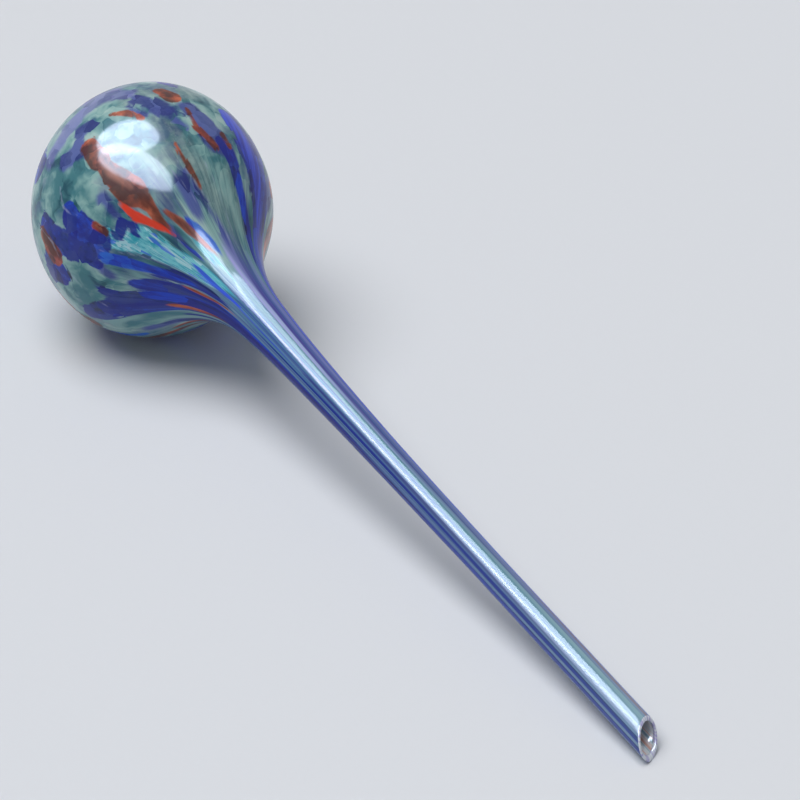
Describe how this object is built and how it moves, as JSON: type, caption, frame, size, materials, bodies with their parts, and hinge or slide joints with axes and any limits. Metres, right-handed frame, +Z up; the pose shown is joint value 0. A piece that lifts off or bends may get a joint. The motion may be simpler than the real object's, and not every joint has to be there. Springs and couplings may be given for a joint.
{
  "type": "watering globe",
  "caption": "Blown glass watering globe: a hollow bulb drawn out into a long hollow stem with a slanted open mouth, in teal, cobalt and orange-red glass.",
  "frame": {"origin": "on the surface that the globe lies on, under the middle of its bounding box", "axes": "+Z up; +X from the bulb towards the stem's mouth, which comes down to the surface; the globe's own axis leans 7.5 degrees below +X"},
  "size_m": [0.321, 0.083, 0.083],
  "materials": {
    "clear_glass": "clear blown glass, fire polished",
    "teal_glass": "milky teal glass",
    "cobalt_glass": "cobalt blue glass",
    "orange_glass": "orange-red opaque glass",
    "milky_glass": "pale aqua milky glass",
    "violet_glass": "pale violet glass"
  },
  "bodies": {
    "root": {"bulb_inner_wall": "clear_glass", "stem_inner_wall": "clear_glass", "bulb_outer_casing": "clear_glass", "stem_outer_casing": "clear_glass", "teal_ground_glass": "teal_glass", "cobalt_flakes": "cobalt_glass", "cobalt_streaks": "cobalt_glass", "orange_flakes": "orange_glass", "orange_streaks": "orange_glass", "milky_flakes": "milky_glass", "violet_streaks": "violet_glass"}
  },
  "joints": []
}
